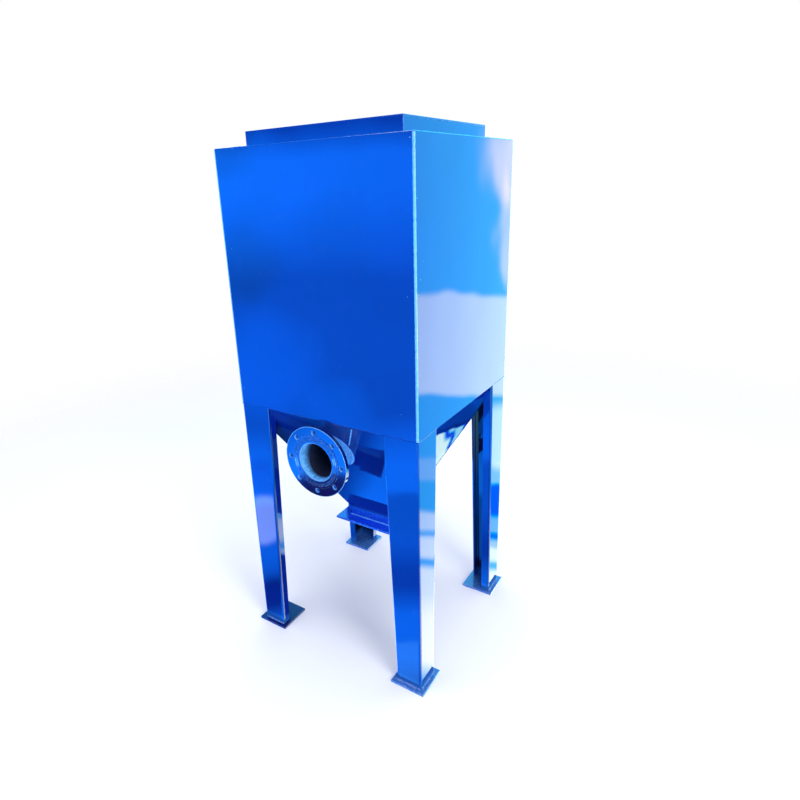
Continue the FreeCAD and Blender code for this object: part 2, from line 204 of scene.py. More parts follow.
class StageSettings(bpy.types.PropertyGroup):
    """Camera and lights."""
    eye: bpy.props.FloatVectorProperty(
        name="Eye", description="Where the camera stands", size=3, unit="LENGTH",
        subtype="TRANSLATION", default=(1.1209, -1.7268, 1.6800))
    turn: angle("Turn", "How far the camera turns left from +Y", 34.28)
    tilt: angle("Tilt", "How far the camera looks down", 18.41)
    roll: angle("Roll", "How far the camera leans over", -2.42)
    lens: bpy.props.FloatProperty(
        name="Lens", description="Focal length on a 36 mm sensor", unit="CAMERA", default=26.18)
    shift: bpy.props.FloatVectorProperty(
        name="Shift", description="How far the view is shifted right and up, in frame widths",
        size=2, default=(0.0432, -0.0289))
    key_power: power("Key light", "Softbox on the right, towards the front", 75)
    top_power: power("Top light", "Wide softbox overhead, which whitens the floor", 105)


# ---------------------------------------------------------------- materials


def add_node(tree, kind, sockets=None, **settings):
    """Add a node. Each setting or socket takes a value, or another node's socket to link."""
    node = tree.nodes.new(kind)
    for key, value in {**settings, **(sockets or {})}.items():
        if isinstance(value, bpy.types.NodeSocket):
            tree.links.new(value, node.inputs[key])
        elif isinstance(key, int) or key in node.inputs:
            node.inputs[key].default_value = value
        else:
            setattr(node, key, value)
    return node


def start_material(name):
    """A new material's node tree, and the Object coordinates that its patterns read."""
    material = bpy.data.materials.new(name)
    material.use_nodes = True
    tree = material.node_tree
    tree.nodes.clear()
    return tree, add_node(tree, "ShaderNodeTexCoord").outputs["Object"]


def per_size(millimetres):
    """The scale of a pattern, on coordinates in metres, whose features are this large."""
    return 1 / (millimetres * MM)


def rgba(tint, share=1.0):
    """A colour, darkened or lightened to this share, with full opacity."""
    return (*(share * part for part in tint), 1)


def leg_coat(tree, place, coat, primer, skirt):
    """A leg's coat: painted shade darkens its inner faces, and painted floor light makes its lowest 45
    mm paler.
    """
    sides = add_node(tree, "ShaderNodeSeparateXYZ", {"Vector": place})
    depths = []
    for axis, outside in zip("XY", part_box("leg_back_right")[1]):
        away = add_node(tree, "ShaderNodeMath", {0: sides.outputs[axis]}, operation="ABSOLUTE")
        depth = add_node(tree, "ShaderNodeMath",
                         {0: away.outputs["Value"], 1: outside - LEG_WALL}, operation="SUBTRACT")
        depths.append(depth.outputs["Value"])
    depth = add_node(tree, "ShaderNodeMath", {0: depths[0], 1: depths[1]}, operation="MAXIMUM")
    # From 2 mm inside the wall's inner face to 0.8 mm into the wall.
    inner = add_node(tree, "ShaderNodeMath",
                     {0: depth.outputs["Value"], 1: -0.6 * MM, 2: 1.4 * MM}, operation="COMPARE")
    # Painted shade: the legs' inner faces are darkened.
    shaded_inside = add_node(tree, "ShaderNodeMix",
                      {"Factor": inner.outputs["Value"], "A": coat, "B": rgba(primer)},
                      data_type="RGBA")
    # Painted light: the lowest 45 mm is paler, as if lit by the floor.
    low = add_node(tree, "ShaderNodeMapRange", {
        "Value": sides.outputs["Z"], "From Min": 45 * MM, "From Max": 10 * MM, "To Max": 0.8})
    pale_wear_and_light = add_node(tree, "ShaderNodeMix", {
        "Factor": low.outputs["Result"], "A": shaded_inside.outputs["Result"], "B": rgba(skirt)},
        data_type="RGBA")
    return pale_wear_and_light.outputs["Result"]


def brushed_enamel(name, blue, worn_and_highlight_tint, dust, roughness, wear_width=0.8, wear=0.75, flecks=0.0,
                   wave=1.0, coat_ior=1.5, primer=None, skirt=None):
    """Alkyd enamel brushed on steel.

    It is deep and wet-looking: a clear surface gives sharp reflections that bend with the
    sheet, over a saturated blue that goes darker where the coat is thick. Edges are rubbed
    over wear_width millimetres, and where the worn tint is pale it is partly painted highlight.
    Wave is how much the sheet buckles. For the legs only, a dark colour paints shade on their
    inner faces and a pale one paints floor light on their lowest 45 mm.
    """
    tree, place = start_material(name)

    # Coat thickness: cloudy patches about 320 mm across.
    cloud = add_node(tree, "ShaderNodeTexNoise", {"Vector": place},
                     Scale=per_size(320), Detail=2.0, Roughness=0.5)
    thick = add_node(tree, "ShaderNodeMapRange", {
        "Value": cloud.outputs["Fac"], "From Min": 0.35, "From Max": 0.65})
    coat = add_node(tree, "ShaderNodeMix", {
        "Factor": thick.outputs["Result"], "A": rgba(blue), "B": rgba(blue, 0.8)},
        data_type="RGBA").outputs["Result"]
    # Legs only: painted shade on the inner faces, and painted floor light at the foot.
    if primer is not None:
        coat = leg_coat(tree, place, coat, primer, skirt)

    # Brush marks: streaks 4 mm apart and 120 mm long, drawn down the sheet.
    stretch = add_node(tree, "ShaderNodeMapping", {"Vector": place}, Scale=(1, 1, 0.035))
    brush = add_node(tree, "ShaderNodeTexNoise", {"Vector": stretch.outputs["Vector"]},
                     Scale=per_size(4), Detail=2.0, Roughness=0.6)
    # Orange peel of the dried coat: 2.5 mm dimples.
    peel = add_node(tree, "ShaderNodeTexNoise", {"Vector": place},
                    Scale=per_size(2.5), Detail=1.0)
    # Buckling of welded sheet: swells 260 mm across.
    buckle = add_node(tree, "ShaderNodeTexNoise", {"Vector": place},
                      Scale=per_size(260), Detail=1.0, Roughness=0.4)
    bump = add_node(tree, "ShaderNodeBump", {"Height": buckle.outputs["Fac"]},
                    Strength=1.0, Distance=2.2 * MM * wave)
    for pattern, height in ((brush, 0.012), (peel, 0.010)):
        bump = add_node(tree, "ShaderNodeBump",
                        {"Height": pattern.outputs["Fac"], "Normal": bump.outputs["Normal"]},
                        Strength=1.0, Distance=height * MM)

    # Dust and handling marks: faint patches 40 mm across with ragged edges.
    smudge = add_node(tree, "ShaderNodeTexNoise", {"Vector": place},
                      Scale=per_size(40), Detail=5.0, Roughness=0.7)
    smudged = add_node(tree, "ShaderNodeMapRange", {
        "Value": smudge.outputs["Fac"], "From Min": 0.56, "From Max": 0.80, "To Max": 0.012})
    dusty = add_node(tree, "ShaderNodeMix", {
        "Factor": smudged.outputs["Result"], "A": coat, "B": rgba(dust)}, data_type="RGBA")

    # Wear: the rounded normal leaves the true one near an edge, and grain 9 mm across
    # breaks it up; where the worn tint is pale, the worn edges are partly painted highlight.
    # Flecks are where brushing or grinding has left the coat thin.
    rounded = add_node(tree, "ShaderNodeBevel", Radius=wear_width * MM, samples=4)
    true = add_node(tree, "ShaderNodeNewGeometry")
    turn = add_node(tree, "ShaderNodeVectorMath",
                    {0: rounded.outputs["Normal"], 1: true.outputs["Normal"]},
                    operation="DOT_PRODUCT")
    edge = add_node(tree, "ShaderNodeMapRange", {
        "Value": turn.outputs["Value"], "From Min": 0.995, "From Max": 0.90})
    grain = add_node(tree, "ShaderNodeTexNoise", {"Vector": place},
                     Scale=per_size(9), Detail=4.0, Roughness=0.7)
    broken = add_node(tree, "ShaderNodeMapRange", {
        "Value": grain.outputs["Fac"], "From Min": 0.40, "From Max": 0.60, "To Max": wear})
    edge_rub_and_highlight = add_node(tree, "ShaderNodeMath", {0: edge.outputs["Result"], 1: broken.outputs["Result"]},
                   operation="MULTIPLY")
    thin = add_node(tree, "ShaderNodeMapRange", {
        "Value": grain.outputs["Fac"], "From Min": 0.50, "From Max": 0.62, "To Max": flecks})
    wear_and_highlight = add_node(tree, "ShaderNodeMath", {0: edge_rub_and_highlight.outputs["Value"], 1: thin.outputs["Result"]},
                    operation="MAXIMUM")
    top = add_node(tree, "ShaderNodeMix", {
        "Factor": wear_and_highlight.outputs["Value"], "A": dusty.outputs["Result"], "B": rgba(worn_and_highlight_tint)},
        data_type="RGBA")

    rough = add_node(tree, "ShaderNodeMapRange", {
        "Value": smudge.outputs["Fac"], "From Min": 0.45, "From Max": 0.80,
        "To Min": 0.34, "To Max": 0.55})
    shader = add_node(tree, "ShaderNodeBsdfPrincipled", {
        "Base Color": top.outputs["Result"], "Roughness": rough.outputs["Result"],
        "Normal": bump.outputs["Normal"], "Coat Normal": bump.outputs["Normal"],
        "IOR": 1.45, "Specular IOR Level": 0.0, "Coat Weight": 1.0,
        "Coat Roughness": roughness, "Coat IOR": coat_ior})
    add_node(tree, "ShaderNodeOutputMaterial", {"Surface": shader.outputs["BSDF"]})


def bare_steel_painted_light(tint):
    """Bare rolled steel, pale as painted light: dull, streaked along the duct."""
    tree, place = start_material(BORE_LIGHT)
    # Mill streaks 3 mm apart, drawn out along the duct, and blotches 15 mm across.
    stretch = add_node(tree, "ShaderNodeMapping", {"Vector": place}, Scale=(1, 0.08, 1))
    streak = add_node(tree, "ShaderNodeTexNoise", {"Vector": stretch.outputs["Vector"]},
                      Scale=per_size(3), Detail=3.0)
    blotches = add_node(tree, "ShaderNodeTexNoise", {"Vector": place}, Scale=per_size(15), Detail=3.0)
    both = add_node(tree, "ShaderNodeMath",
                    {0: streak.outputs["Fac"], 1: blotches.outputs["Fac"]}, operation="MULTIPLY")
    share = add_node(tree, "ShaderNodeMapRange", {
        "Value": both.outputs["Value"], "From Min": 0.16, "From Max": 0.34})
    shade = add_node(tree, "ShaderNodeMix", {
        "Factor": share.outputs["Result"], "A": rgba(tint, 0.55), "B": rgba(tint)},
        data_type="RGBA")
    shader = add_node(tree, "ShaderNodeBsdfPrincipled", {
        "Base Color": shade.outputs["Result"], "Roughness": 0.5, "Specular IOR Level": 0.1})
    add_node(tree, "ShaderNodeOutputMaterial", {"Surface": shader.outputs["BSDF"]})


def caked_dust_and_shade(tone):
    """Fly dust caked on bare steel, soot-dark partly as painted shade: dead matt and lumpy."""
    tree, place = start_material(DUST_AND_SHADE)
    # Crusts about 12 mm across.
    crust = add_node(tree, "ShaderNodeTexNoise", {"Vector": place},
                     Scale=per_size(12), Detail=5.0, Roughness=0.65)
    shade = add_node(tree, "ShaderNodeMix", {
        "Factor": crust.outputs["Fac"], "A": rgba(tone), "B": rgba(tone, 2.5)}, data_type="RGBA")
    bump = add_node(tree, "ShaderNodeBump", {"Height": crust.outputs["Fac"]},
                    Strength=1.0, Distance=1.5 * MM)
    shader = add_node(tree, "ShaderNodeBsdfPrincipled", {
        "Base Color": shade.outputs["Result"], "Normal": bump.outputs["Normal"],
        "Roughness": 0.95})
    add_node(tree, "ShaderNodeOutputMaterial", {"Surface": shader.outputs["BSDF"]})


def matt_floor_paint():
    """Pale painted floor, with no gloss to speak of."""
    tree, place = start_material(FLOOR_PAINT)
    mottle = add_node(tree, "ShaderNodeTexNoise", {"Vector": place}, Scale=1.5, Detail=3.0)
    tone = add_node(tree, "ShaderNodeMix", {
        "Factor": mottle.outputs["Fac"], "A": rgba(linear("#F4F5F7")),
        "B": rgba(linear("#EEF0F3"))}, data_type="RGBA")
    shader = add_node(tree, "ShaderNodeBsdfPrincipled", {
        "Base Color": tone.outputs["Result"], "Roughness": 0.8})
    # The floor runs out into the white surroundings between 1.6 m and 4.5 m from the middle.
    reach = add_node(tree, "ShaderNodeVectorMath", {0: place}, operation="LENGTH")
    fade = add_node(tree, "ShaderNodeMapRange", {
        "Value": reach.outputs["Value"], "From Min": 1.6, "From Max": 4.5},
        interpolation_type="SMOOTHSTEP")
    clear = add_node(tree, "ShaderNodeBsdfTransparent")
    mix = add_node(tree, "ShaderNodeMixShader", {
        0: fade.outputs["Result"], 1: shader.outputs["BSDF"], 2: clear.outputs["BSDF"]})
    add_node(tree, "ShaderNodeOutputMaterial", {"Surface": mix.outputs["Shader"]})


# ---------------------------------------------------------------- pieces


def add_piece(name, bm, material, smooth=True):
    """Turn a bmesh into a piece that rides on the frame."""
    bmesh.ops.recalc_face_normals(bm, faces=bm.faces)
    mesh = bpy.data.meshes.new(name)
    bm.to_mesh(mesh)
    bm.free()
    for polygon in mesh.polygons:
        polygon.use_smooth = smooth
    mesh.materials.append(bpy.data.materials[material])
    piece = bpy.data.objects.new(name, mesh)
    bpy.context.scene.collection.objects.link(piece)
    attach(piece, BODY)


def take_in(bm, other):
    """Move one bmesh's geometry into another."""
    mesh = bpy.data.meshes.new("bead")
    other.to_mesh(mesh)
    other.free()
    bm.from_mesh(mesh)
    bpy.data.meshes.remove(mesh)


def roughen(bead, nearest, pitch, ripple, uneven, seed):
    """Ripple a bead along its middle line: nearest gives the line's point and distance."""
    for vert in bead.verts:
        middle, along = nearest(vert.co)
        wave = math.sin(2 * math.pi * along / pitch)
        lump = noise.noise(Vector((along / (3 * pitch), seed, 0)))
        grit = noise.noise(vert.co * per_size(4) + Vector((seed, 0, 0)))
        vert.co = middle + (vert.co - middle) * (1 + ripple * wave + uneven * (lump + 0.6 * grit))


def straight_bead(bm, start, end, radius, pitch, ripple=0.08, uneven=0.25, seed=0.0, sides=10):
    """A weld bead from one point to another."""
    start, end = Vector(start), Vector(end)
    line = end - start
    direction = line.normalized()
    cuts = max(3, round(line.length / (pitch / 3)))
    turn = direction.to_track_quat("Z", "Y").to_matrix().to_4x4()
    bead = bmesh.new()
    bmesh.ops.create_cone(bead, cap_ends=True, segments=sides, radius1=radius, radius2=radius,
                          depth=line.length, matrix=Matrix.Translation((start + end) / 2) @ turn)
    along_edges = [edge for edge in bead.edges
                   if abs((edge.verts[1].co - edge.verts[0].co).dot(direction)) > line.length / 2]
    bmesh.ops.subdivide_edges(bead, edges=along_edges, cuts=cuts)

    def nearest(point):
        along = (point - start).dot(direction)
        return start + direction * along, along

    roughen(bead, nearest, pitch, ripple, uneven, seed)
    take_in(bm, bead)


def ring_bead(bm, centre, ring_radius, radius, pitch, ripple=0.08, uneven=0.2, seed=0.0,
              lean=None):
    """A weld bead round a circle that faces along Y; lean shears it onto a sloping plate."""
    centre = Vector(centre)
    steps = round(2 * math.pi * ring_radius / (pitch / 3))
    bead = bmesh.new()
    side = Y_AXIS.orthogonal().normalized()
    across = Y_AXIS.cross(side)
    turn = Matrix((side, Y_AXIS, across)).transposed().to_4x4()
    place = Matrix.Translation(centre + side * ring_radius) @ turn
    bmesh.ops.create_circle(bead, cap_ends=False, radius=radius, segments=10, matrix=place)
    bmesh.ops.spin(bead, geom=bead.edges[:] + bead.verts[:], cent=centre, axis=Y_AXIS,
                   angle=2 * math.pi, steps=steps, use_merge=True)
    bmesh.ops.remove_doubles(bead, verts=bead.verts, dist=0.01 * MM)

    def nearest(point):
        flat = point - centre
        flat -= Y_AXIS * flat.dot(Y_AXIS)
        around = math.atan2(flat.dot(across), flat.dot(side))
        return centre + flat.normalized() * ring_radius, (around + math.pi) * ring_radius

    # A whole number of ripples, so that the ring closes without a step.
    pitch = 2 * math.pi * ring_radius / round(2 * math.pi * ring_radius / pitch)
    roughen(bead, nearest, pitch, ripple, uneven, seed)
    if lean is not None:
        bmesh.ops.transform(bead, matrix=lean, verts=bead.verts)
    take_in(bm, bead)


def bead_loop(bm, half_x, half_y, z, radius, pitch, seed):
    """Four weld beads round a level rectangle."""
    for side in (-1, 1):
        straight_bead(bm, (-half_x, side * half_y, z), (half_x, side * half_y, z), radius, pitch,
                      seed=seed + side)
        straight_bead(bm, (side * half_x, -half_y, z), (side * half_x, half_y, z), radius, pitch,
                      seed=seed + 3 * side)


def duct_axis():
    """Where the inlet duct's axis meets the hopper's front plate, and the duct's radius."""
    low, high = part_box("inlet_pipe")
    x, z = (low.x + high.x) / 2, (low.z + high.z) / 2
    return (x, -(NECK_HIGH.y + SLOPE * (z - NECK_HIGH.z)), z), high.x - x


class SEPARATOR_OT_paint(bpy.types.Operator):
    """Mix the finishes, and paint the chamber, hopper, flanges, legs and foot plates"""
    bl_idname = "separator.paint"
    bl_label = "Enamel"

    def execute(self, context):
        look = context.scene.separator_finish
        gloss = look.roughness

        def enamel(name, blue, wear_and_highlight, roughness, **extras):
            brushed_enamel(name, tuple(blue), tuple(wear_and_highlight), tuple(look.dust), roughness, **extras)

        enamel(SHEET, look.panel_blue, look.steel, gloss)
        # The legs take painted shade on their inner faces and painted floor light at their foot.
        enamel(FOLDED, look.leg_blue, look.steel, 0.6 * gloss, wear_width=1.0, wave=0.25,
               primer=tuple(look.primer), skirt=tuple(look.foot_blue_and_floor_light))
        # The flange's pale worn edges are partly painted highlight on its rim and grooves.
        enamel(TURNED, look.flange_blue, look.pale_wear_and_light, 2 * gloss, wear_width=1.6, wear=0.55,
               wave=0.1, coat_ior=1.7)
        enamel(CUT, look.foot_blue_and_floor_light, look.scuffed, 4 * gloss, wear_width=8.0, wear=1.0,
               flecks=0.35, wave=0.2)
        # The beads' pale blue is partly painted highlight.
        enamel(BEAD_AND_HIGHLIGHT, look.bead_blue_and_highlight, look.pale_wear_and_light, 3 * gloss, flecks=0.20, wave=0.2)
        enamel(TUBE, look.tube_blue, look.pale_wear_and_light, 2 * gloss, flecks=0.35, wave=0.1)
        # Painted shade: a nearly black copy of the foot plates' enamel, for the front left foot.
        enamel(SHADED_FOOT_NAVY, look.flange_blue, look.steel, 0.25, wear_width=3.0, flecks=0.05, wave=0.2,
               coat_ior=1.3)
        # Painted light: a brighter enamel on the shaded neck and outlet flange.
        enamel(LIT_OUTLET, look.outlet_lit_blue, look.pale_wear_and_light, 3 * gloss, wear_width=3.0, flecks=0.10,
               wave=0.2)
        bare_steel_painted_light(tuple(look.bore_light_blue))
        caked_dust_and_shade(tuple(look.dark_dust_and_shade))
        by_slot = {"chamber_enamel": SHEET, "leg_enamel": FOLDED, "flange_enamel": TURNED,
                   "foot_enamel": CUT}
        # Painted light and shade: the neck and outlet flange take the brighter enamel, and the front
        # left foot plate takes the nearly black one.
        by_node = {"inlet_pipe": TUBE, "outlet_neck": LIT_OUTLET, "outlet_flange": LIT_OUTLET,
                   "foot_plate_front_left": SHADED_FOOT_NAVY}
        for name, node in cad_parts.items():
            for holder in node.material_slots:
                finish = by_node.get(name, by_slot[holder.material.name])
                holder.material = bpy.data.materials[finish]
        return {"FINISHED"}


class SEPARATOR_OT_chamber_welds(bpy.types.Operator):
    """Dressed beads up the chamber's corners, round its roof plate and round the lid"""
    bl_idname = "separator.chamber_welds"
    bl_label = "Chamber welds"

    def execute(self, context):
        weld = context.scene.separator_welds
        proud = 0.4 * MM  # how far a dressed bead stands out of its panels
        inset = weld.corner - proud
        for index, (corner, (sx, sy)) in enumerate(zip(CORNERS, SIGNS)):
            x, y = sx * (HIGH.x - inset), sy * (HIGH.y - inset)
            bm = bmesh.new()
            straight_bead(bm, (x, y, LOW.z + 1 * MM), (x, y, HIGH.z - 2 * MM), weld.corner,
                          weld.ripple, ripple=0.012, uneven=0.07, seed=index * 7.3, sides=16)
            add_piece(f"weld_corner_{corner}", bm, BEAD_AND_HIGHLIGHT)
        bm = bmesh.new()
        bead_loop(bm, INSIDE.x, INSIDE.y, HIGH.z - 1.5 * MM, weld.seam, weld.ripple, seed=1.7)
        add_piece("weld_roof_seam", bm, SHEET)
        lid_low, lid_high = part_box("lid_front_wall")
        lid_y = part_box("lid_back_wall")[1].y
        bm = bmesh.new()
        bead_loop(bm, lid_high.x, lid_y, lid_low.z, weld.seam, weld.ripple, seed=4.1)
        add_piece("weld_lid_base", bm, SHEET)
        bm = bmesh.new()
        inset = weld.lid - proud
        x, y = lid_high.x - inset, lid_y - inset
        bead_loop(bm, x, y, lid_high.z, weld.lid, weld.ripple, seed=6.3)
        for sx, sy in SIGNS:
            straight_bead(bm, (sx * x, sy * y, lid_low.z), (sx * x, sy * y, lid_high.z), weld.lid,
                          weld.ripple, uneven=0.12, seed=sx + 2 * sy)
        add_piece("weld_lid_seams", bm, SHEET)
        return {"FINISHED"}


class SEPARATOR_OT_hopper_welds(bpy.types.Operator):
    """Beads down the hopper's hips and where it meets the chamber"""
    bl_idname = "separator.hopper_welds"
    bl_label = "Hopper welds"

    def execute(self, context):
        weld = context.scene.separator_welds
        sink = 0.6 * weld.seam
        bm = bmesh.new()
        for index, (sx, sy) in enumerate(SIGNS):
            straight_bead(bm, (sx * (NECK_HIGH.x - sink), sy * (NECK_HIGH.y - sink), NECK_HIGH.z),
                          (sx * (INSIDE.x - sink), sy * (INSIDE.y - sink), LOW.z), weld.seam,
                          weld.ripple, seed=index * 3.1)
        add_piece("weld_hopper_hips", bm, SHEET)
        bm = bmesh.new()
        bead_loop(bm, INSIDE.x, INSIDE.y, LOW.z, weld.seam, weld.ripple, seed=8.9)
        add_piece("weld_hopper_rim", bm, SHEET)
        return {"FINISHED"}


class SEPARATOR_OT_lining(bpy.types.Operator):
    """Caked dust on the inside walls, near black partly as painted shade, seen through the inlet and
    the outlet
    """
    bl_idname = "separator.lining"
    bl_label = "Dust lining"

    def execute(self, context):
        gap = 8 * MM  # from the chamber's inner corner to the lining's
        neck_gap = 1.2 * gap
        roof_gap = 2 * MM
        bm = bmesh.new()
        bmesh.ops.create_cube(bm, size=2)
        # The duct comes in at the front, so the lining is open there, and at its top and foot.
        caps = [face for face in bm.faces if abs(face.normal.z) > 0.5 or face.normal.y < -0.5]
        bmesh.ops.delete(bm, geom=caps, context="FACES_ONLY")
        rails = [edge for edge in bm.edges if abs(edge.verts[0].co.z - edge.verts[1].co.z) > 1]
        bmesh.ops.subdivide_edges(bm, edges=rails, cuts=1)
        # The half width, half depth and height of its foot, its middle and its top.
        levels = {-1: (NECK_HIGH.x - neck_gap, NECK_HIGH.y - neck_gap, NECK_HIGH.z + 1 * MM),
                  0: (INSIDE.x - gap, INSIDE.y - gap, LOW.z + 12 * MM),
                  1: (INSIDE.x - roof_gap, INSIDE.y - roof_gap, INSIDE.z - 7 * MM)}
        for vert in bm.verts:
            half_x, half_y, z = levels[round(vert.co.z)]
            vert.co = Vector((vert.co.x * half_x, vert.co.y * half_y, z))
        bmesh.ops.solidify(bm, geom=bm.faces[:], thickness=1 * MM)
        add_piece("dust_and_shade_lining", bm, DUST_AND_SHADE, smooth=False)
        return {"FINISHED"}


class SEPARATOR_OT_inlet_welds(bpy.types.Operator):
    """Fillets where the duct meets the hopper, its flange and the flange's bore"""
    bl_idname = "separator.inlet_welds"
    bl_label = "Inlet welds"

    def execute(self, context):
        weld = context.scene.separator_welds
        (x, meet_y, z), radius = duct_axis()
        lean = (Matrix.Translation((0, 0, z))
                @ Matrix(((1, 0, 0, 0), (0, 1, -SLOPE, 0), (0, 0, 1, 0), (0, 0, 0, 1)))
                @ Matrix.Translation((0, 0, -z)))
        bm = bmesh.new()
        ring_bead(bm, (x, meet_y, z), radius, weld.fillet, weld.ripple, seed=2.0, lean=lean)
        add_piece("weld_duct_to_hopper", bm, BEAD_AND_HIGHLIGHT)
        bm = bmesh.new()
        flange_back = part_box("inlet_flange")[1].y
        ring_bead(bm, (x, flange_back, z), radius, weld.fillet, weld.ripple, seed=5.0)
        add_piece("weld_duct_to_flange", bm, BEAD_AND_HIGHLIGHT)
        bm = bmesh.new()
        duct_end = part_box("inlet_pipe")[0].y
        ring_bead(bm, (x, duct_end, z), radius - 1 * MM, 2.6 * MM, weld.ripple, ripple=0.12,
                  seed=9.0)
        add_piece("weld_duct_end", bm, BEAD_AND_HIGHLIGHT)
        return {"FINISHED"}


class SEPARATOR_OT_duct_bore(bpy.types.Operator):
    """Painted light on the duct's bare inside, and past it caked dust, dark as painted shade"""
    bl_idname = "separator.duct_bore"
    bl_label = "Duct bore"

    def execute(self, context):
        (x, meet_y, z), radius = duct_axis()
        bore = radius - DUCT_WALL - 0.3 * MM
        mouth = (0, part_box("inlet_pipe")[0].y + 1 * MM, 0)
        # The painted light reaches 52 mm in from the flange's face, and ends on a slant.
        reach = Vector((0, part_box("inlet_flange")[0].y + 52 * MM, z))
        slant = Vector((0, 1, -0.35))
        # The dust, dark as painted shade, ends 6 mm past the outside of the hopper's front plate.
        hopper = (0, meet_y + 6 * MM, z)
        for name, material, cuts in (
                ("duct_bore_painted_light", BORE_LIGHT, ((mouth, -Y_AXIS), (reach, slant))),
                ("duct_bore_dust_and_shade", DUST_AND_SHADE, ((reach, -slant), (hopper, (0, 1, SLOPE))))):
            bm = bmesh.new()
            place = Matrix.Translation((x, meet_y, z)) @ Matrix.Rotation(math.pi / 2, 4, "X")
            bmesh.ops.create_cone(bm, cap_ends=False, segments=96, radius1=bore, radius2=bore,
                                  depth=4 * radius, matrix=place)
            for point, outwards in cuts:
                bmesh.ops.bisect_plane(bm, geom=bm.verts[:] + bm.edges[:] + bm.faces[:],
                                       clear_outer=True, plane_co=point, plane_no=outwards)
            bmesh.ops.solidify(bm, geom=bm.faces[:], thickness=0.6 * MM)
            add_piece(name, bm, material)
        return {"FINISHED"}


class SEPARATOR_OT_flange_highlights(bpy.types.Operator):
    """Painted highlights: a pale ring on the inlet flange's rim, and a pale film in its bolt holes"""
    bl_idname = "separator.flange_wear"
    # This step paints highlights on the flange's rim and in its bolt holes.
    bl_label = "Flange wear"

    def execute(self, context):
        weld = context.scene.separator_welds
        x, _, z = duct_axis()[0]
        low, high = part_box("inlet_flange")
        # A pale ring on the flange's rim is a painted highlight.
        strip = 0.8 * MM
        bm = bmesh.new()
        ring_bead(bm, (x, low.y + 2.7 * MM, z), (high.x - low.x) / 2 - strip, strip, weld.ripple,
                  ripple=0.0, uneven=0.05, seed=12.0)
        add_piece("flange_rim_highlight", bm, BEAD_AND_HIGHLIGHT)
        # A pale film in the bolt holes is a painted highlight.
        film = BOLT_HOLE - 0.2 * MM
        plate_y = (low.y + RAISED_FACE + high.y) / 2
        depth = high.y - low.y - RAISED_FACE - 0.6 * MM
        bm = bmesh.new()
        for index in range(BOLT_COUNT):
            around = index * 2 * math.pi / BOLT_COUNT
            centre = (x + BOLT_RING * math.cos(around), plate_y, z + BOLT_RING * math.sin(around))
            place = Matrix.Translation(centre) @ Matrix.Rotation(math.pi / 2, 4, "X")
            hole = bmesh.new()
            bmesh.ops.create_cone(hole, cap_ends=False, segments=40, radius1=film, radius2=film,
                                  depth=depth, matrix=place)
            bmesh.ops.solidify(hole, geom=hole.faces[:], thickness=0.15 * MM)
            take_in(bm, hole)
        add_piece("bolt_hole_highlight", bm, BORE_LIGHT)
        return {"FINISHED"}


class SEPARATOR_OT_outlet_welds(bpy.types.Operator):
    """Beads round the top and foot of the outlet neck, and up its corners"""
    bl_idname = "separator.outlet_welds"
    bl_label = "Outlet welds"

    def execute(self, context):
        weld = context.scene.separator_welds
        sink = 0.3 * weld.seam
        x, y = NECK_HIGH.x - sink, NECK_HIGH.y - sink
        bm = bmesh.new()
        bead_loop(bm, x, y, NECK_HIGH.z, weld.seam, weld.ripple, seed=3.3)
        add_piece("weld_neck_top", bm, SHEET)
        bm = bmesh.new()
        bead_loop(bm, NECK_HIGH.x, NECK_HIGH.y, NECK_LOW.z, weld.fillet, weld.ripple, seed=5.7)
        add_piece("weld_neck_foot", bm, BEAD_AND_HIGHLIGHT)
        bm = bmesh.new()
        for sx, sy in SIGNS:
            straight_bead(bm, (sx * x, sy * y, NECK_LOW.z), (sx * x, sy * y, NECK_HIGH.z),
                          weld.seam, weld.ripple, seed=sx + 5 * sy)
        add_piece("weld_neck_corners", bm, SHEET)
        return {"FINISHED"}


class SEPARATOR_OT_leg_welds(bpy.types.Operator):
    """Beads between the chamber, the legs and the foot plates"""
    bl_idname = "separator.leg_welds"
    bl_label = "Leg welds"

    def execute(self, context):
        weld = context.scene.separator_welds
        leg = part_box("leg_back_right")[0]
        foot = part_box("foot_plate_back_right")[1].z
        sink = 0.4 * weld.seam
        corner_x, corner_y = HIGH.x - sink, HIGH.y - sink
        toe_x = leg.x + LEG_TAPER
        toe_y = toe_x - HIGH.x + HIGH.y
        stop = 6 * MM  # the foot beads end this far from the leg's corner
        for index, (corner, (sx, sy)) in enumerate(zip(CORNERS, SIGNS)):
            bm = bmesh.new()
            for x, y, seed in ((leg.x, corner_y, 0.5), (corner_x, leg.y, 4.5)):
                straight_bead(bm, (sx * x, sy * y, LOW.z), (sx * corner_x, sy * corner_y, LOW.z),
                              weld.butt, weld.ripple, seed=index + seed)
            add_piece(f"weld_leg_top_{corner}", bm, FOLDED)
            bm = bmesh.new()
            for start, end, seed in (
                    ((sx * toe_x, sy * HIGH.y, foot), (sx * (HIGH.x - stop), sy * HIGH.y, foot), 7.5),
                    ((sx * HIGH.x, sy * toe_y, foot), (sx * HIGH.x, sy * (HIGH.y - stop), foot), 9.5)):
                straight_bead(bm, start, end, weld.fillet, weld.ripple, seed=index + seed)
            add_piece(f"weld_foot_{corner}", bm, CUT)
        return {"FINISHED"}


